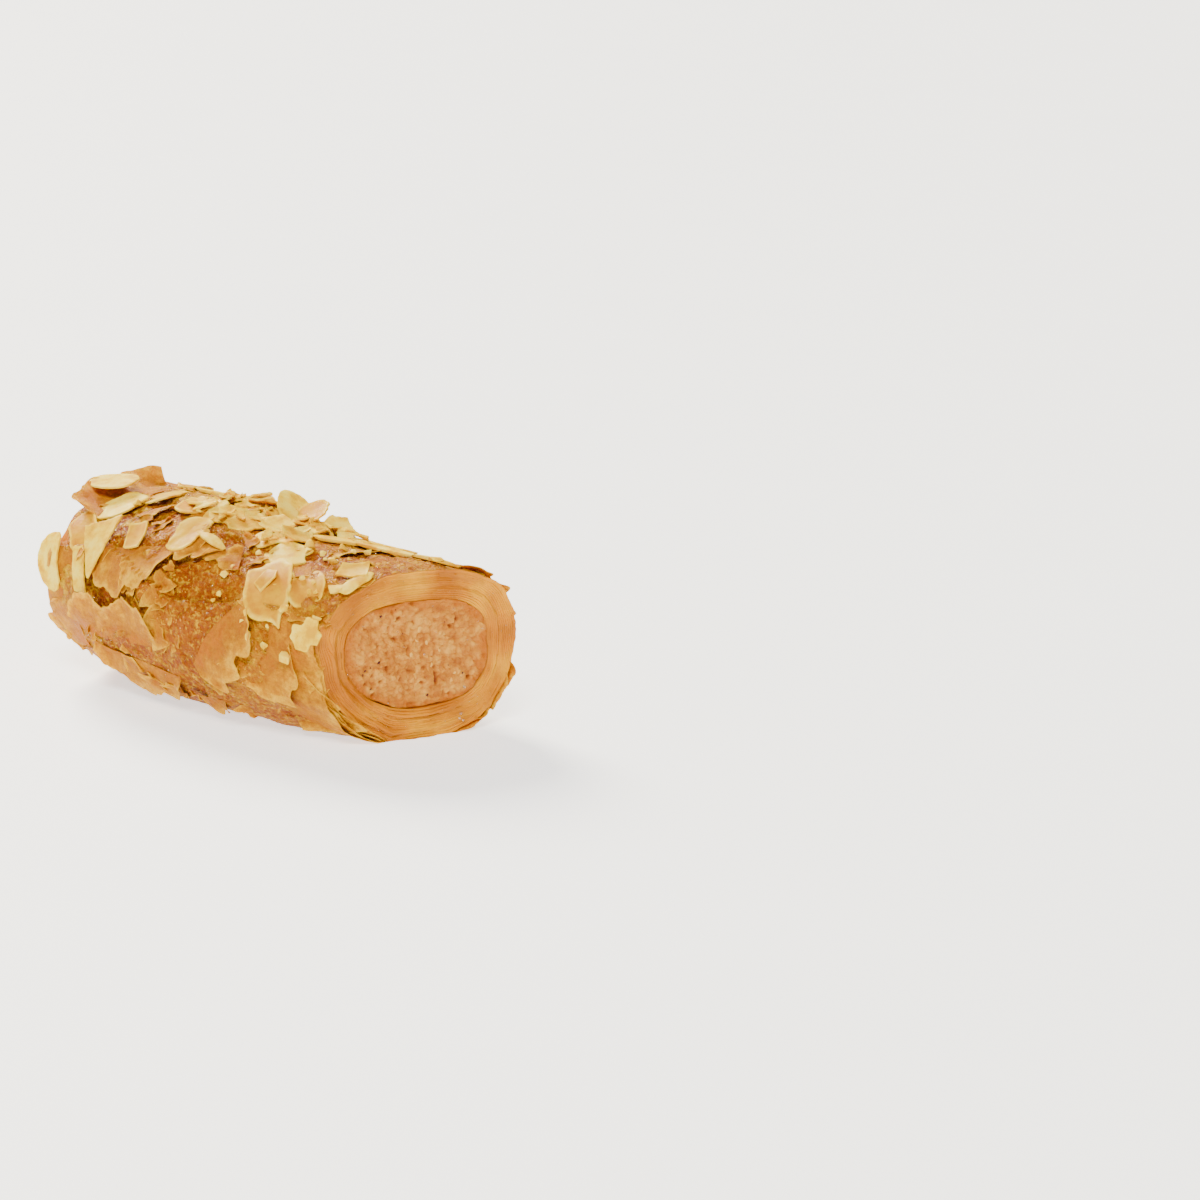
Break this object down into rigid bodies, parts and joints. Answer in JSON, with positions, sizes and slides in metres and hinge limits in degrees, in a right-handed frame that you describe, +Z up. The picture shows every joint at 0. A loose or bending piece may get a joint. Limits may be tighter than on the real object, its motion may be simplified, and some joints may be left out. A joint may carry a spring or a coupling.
{
  "type": "almond snake pastry",
  "caption": "Length of flaky filo roll around a grainy almond paste, cut across at both ends, with torn leaves and flaked almonds stuck to its skin.",
  "frame": {"origin": "centre of the bounding box's footprint, on the surface it rests on", "axes": "+X along the roll toward the oblique cut, -Y the front flank, +Z up"},
  "size_m": [0.1068, 0.0552, 0.0453],
  "materials": {
    "filo": "syrup-glazed, thin baked leaves",
    "almond_paste": "matt, grainy, slightly moist"
  },
  "bodies": {
    "root": {"filo_roll": "filo", "almond_filling": "almond_paste"}
  },
  "joints": []
}
